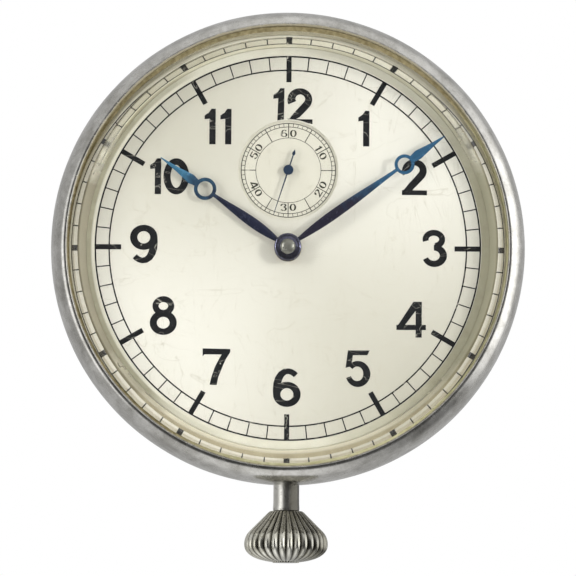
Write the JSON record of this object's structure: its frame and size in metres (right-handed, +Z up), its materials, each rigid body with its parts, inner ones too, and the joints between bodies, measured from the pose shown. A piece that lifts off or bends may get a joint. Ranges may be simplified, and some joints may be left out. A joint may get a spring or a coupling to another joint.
{
  "type": "car clock",
  "caption": "Mechanical dashboard clock with bevelled glass, silvered dial, small seconds, blued hands and a fluted crown on a stem below the round case; the movement is modelled inside",
  "frame": {"origin": "on the dial's axis, in the plane of the case's shoulder that lies on the dashboard", "axes": "the dial faces -Y, +Z points up to twelve o'clock, +X to three o'clock; the crown hangs below along -Z"},
  "size_m": [0.08, 0.0254, 0.0931],
  "materials": {
    "bezel_nickel": "polished nickel plate, worn and finely scratched",
    "case_nickel": "dull nickel plate, tarnished",
    "cover_nickel": "dull nickel plate with handling scratches",
    "crown_nickel": "polished nickel ribs, dark grime in the flutes",
    "surround": "silvered ring with brown stains",
    "glass": "clear bevelled glass with faint scratches",
    "gasket": "aged dark sealing ring",
    "dial_silver": "silvered dial with fine vertical grain, faint stains",
    "hand_blue": "heat-blued polished steel",
    "cap_steel": "polished steel",
    "gilt": "frosted gilt brass",
    "bridge_nickel": "fine-grained nickelled brass",
    "wheel_brass": "polished brass",
    "ring_brass": "dull brass",
    "balance_gilt": "polished gilt",
    "steel": "polished steel",
    "screw_blue": "blued steel",
    "spring_blue": "blued spring steel",
    "ruby": "polished synthetic ruby"
  },
  "bodies": {
    "case": {"bezel": "bezel_nickel", "crystal": "glass", "glass_gasket": "gasket", "dial_surround": "surround", "case_band": "case_nickel", "pendant_tube": "case_nickel", "movement_ring": "ring_brass", "case_screws": "steel", "dial": "dial_silver", "dial_feet": "ring_brass", "seconds_dial": "dial_silver", "main_plate": "gilt", "wheel_posts": "steel", "stem_block": "gilt", "barrel_bridge": "bridge_nickel", "train_bridge": "bridge_nickel", "pallet_bridge": "bridge_nickel", "balance_cock": "bridge_nickel", "bridge_screws": "screw_blue", "jewels": "ruby", "banking_pins": "steel", "regulator": "steel", "hair_stud": "steel", "hairspring": "spring_blue", "click": "steel", "click_spring": "steel", "crown_wheel_core": "steel"},
    "cover": {"back_cover": "cover_nickel"},
    "winding": {"winding_pinion": "steel"},
    "crown_stem": {"crown": "crown_nickel", "winding_stem": "steel"},
    "clutch": {"sliding_clutch": "steel"},
    "lever": {"setting_lever": "steel"},
    "yoke_arm": {"yoke": "steel"},
    "crown_gear": {"crown_wheel": "steel"},
    "ratchet": {"ratchet_wheel": "steel", "ratchet_screw": "screw_blue", "barrel_arbor": "steel"},
    "barrel": {"barrel_drum": "wheel_brass", "barrel_lid": "wheel_brass", "mainspring": "spring_blue"},
    "intermediate": {"intermediate_wheel": "wheel_brass"},
    "centre": {"centre_wheel": "wheel_brass", "cannon_pinion": "steel", "minute_hand": "hand_blue", "hand_collet": "hand_blue", "hand_cap": "cap_steel"},
    "minute_work": {"minute_wheel": "wheel_brass"},
    "hour": {"hour_wheel": "wheel_brass", "hour_hand": "hand_blue"},
    "transfer": {"transfer_wheel": "wheel_brass"},
    "setting": {"setting_wheel": "wheel_brass"},
    "third": {"third_wheel": "wheel_brass"},
    "fourth": {"fourth_wheel": "wheel_brass", "seconds_hand": "hand_blue"},
    "escape": {"escape_wheel": "steel"},
    "fork": {"pallet_fork": "steel", "pallet_stones": "ruby"},
    "balance": {"balance_wheel": "balance_gilt", "balance_staff": "steel"}
  },
  "joints": [
    {"name": "back_cover_off", "type": "slide", "parent": "case", "child": "cover", "axis": [0, 1, 0], "range_m": [0, 0.03]},
    {"name": "crown_turn", "type": "hinge", "parent": "case", "child": "winding", "pos_m": [0, -0.004, -0.0268], "axis": [0, 0, 1], "continuous": true},
    {"name": "crown_pull", "type": "slide", "parent": "winding", "child": "crown_stem", "axis": [0, 0, -1], "range_m": [0, 0.0012]},
    {"name": "clutch_slide", "type": "slide", "parent": "winding", "child": "clutch", "axis": [0, 0, 1], "range_m": [0, 0.0012]},
    {"name": "setting_lever_swing", "type": "hinge", "parent": "case", "child": "lever", "pos_m": [0.0062, -0.007, -0.02875], "axis": [0, 1, 0], "range_deg": [-11.11, 0]},
    {"name": "yoke_swing", "type": "hinge", "parent": "case", "child": "yoke_arm", "pos_m": [0.007, -0.007, -0.02395], "axis": [0, 1, 0], "range_deg": [0, 9.83]},
    {"name": "crown_wheel_turn", "type": "hinge", "parent": "case", "child": "crown_gear", "pos_m": [0, 0, -0.0198], "axis": [0, 1, 0], "continuous": true},
    {"name": "ratchet_turn", "type": "hinge", "parent": "case", "child": "ratchet", "pos_m": [-0.01464, 0, -0.01334], "axis": [0, 1, 0], "continuous": true},
    {"name": "running", "type": "hinge", "parent": "case", "child": "centre", "pos_m": [0, 0, 0], "axis": [0, 1, 0], "continuous": true},
    {"name": "hour_turn", "type": "hinge", "parent": "case", "child": "hour", "pos_m": [0, 0, 0], "axis": [0, 1, 0], "continuous": true},
    {"name": "minute_wheel_turn", "type": "hinge", "parent": "case", "child": "minute_work", "pos_m": [0, 0, -0.006], "axis": [0, 1, 0], "continuous": true},
    {"name": "transfer_turn", "type": "hinge", "parent": "case", "child": "transfer", "pos_m": [0, 0, -0.013], "axis": [0, 1, 0], "continuous": true},
    {"name": "setting_wheel_turn", "type": "hinge", "parent": "case", "child": "setting", "pos_m": [0, 0, -0.0185], "axis": [0, 1, 0], "continuous": true},
    {"name": "third_turn", "type": "hinge", "parent": "case", "child": "third", "pos_m": [-0.0049, 0, 0.00755], "axis": [0, 1, 0], "continuous": true},
    {"name": "fourth_turn", "type": "hinge", "parent": "case", "child": "fourth", "pos_m": [0, 0, 0.0132], "axis": [0, 1, 0], "continuous": true},
    {"name": "escape_turn", "type": "hinge", "parent": "case", "child": "escape", "pos_m": [0.0065, 0, 0.01435], "axis": [0, 1, 0], "continuous": true},
    {"name": "intermediate_turn", "type": "hinge", "parent": "case", "child": "intermediate", "pos_m": [-0.00849, 0, -0.00286], "axis": [0, 1, 0], "continuous": true},
    {"name": "barrel_turn", "type": "hinge", "parent": "case", "child": "barrel", "pos_m": [-0.01464, 0, -0.01334], "axis": [0, 1, 0], "continuous": true},
    {"name": "pallet_swing", "type": "hinge", "parent": "case", "child": "fork", "pos_m": [0.0104, 0, 0.01191], "axis": [0, 1, 0], "range_deg": [-4, 4]},
    {"name": "balance_swing", "type": "hinge", "parent": "case", "child": "balance", "pos_m": [0.01617, 0, 0.0083], "axis": [0, 1, 0], "range_deg": [-270, 270], "deforming": ["hairspring"]}
  ],
  "couplings": [
    {"joint": "clutch_slide", "follows": "crown_pull", "ratio": 1},
    {"joint": "setting_lever_swing", "follows": "crown_pull", "rad_per_m": -161.54},
    {"joint": "yoke_swing", "follows": "crown_pull", "rad_per_m": 143.03},
    {"joint": "crown_wheel_turn", "follows": "crown_turn", "ratio": 0.5},
    {"joint": "ratchet_turn", "follows": "crown_turn", "ratio": -0.38889},
    {"joint": "hour_turn", "follows": "running", "ratio": 0.083333},
    {"joint": "minute_wheel_turn", "follows": "running", "ratio": -0.33333},
    {"joint": "transfer_turn", "follows": "running", "ratio": 0.6},
    {"joint": "setting_wheel_turn", "follows": "running", "ratio": -0.5},
    {"joint": "third_turn", "follows": "running", "ratio": -8},
    {"joint": "fourth_turn", "follows": "running", "ratio": 60},
    {"joint": "escape_turn", "follows": "running", "ratio": -600},
    {"joint": "intermediate_turn", "follows": "running", "ratio": -0.16667},
    {"joint": "barrel_turn", "follows": "running", "ratio": 0.020833}
  ]
}
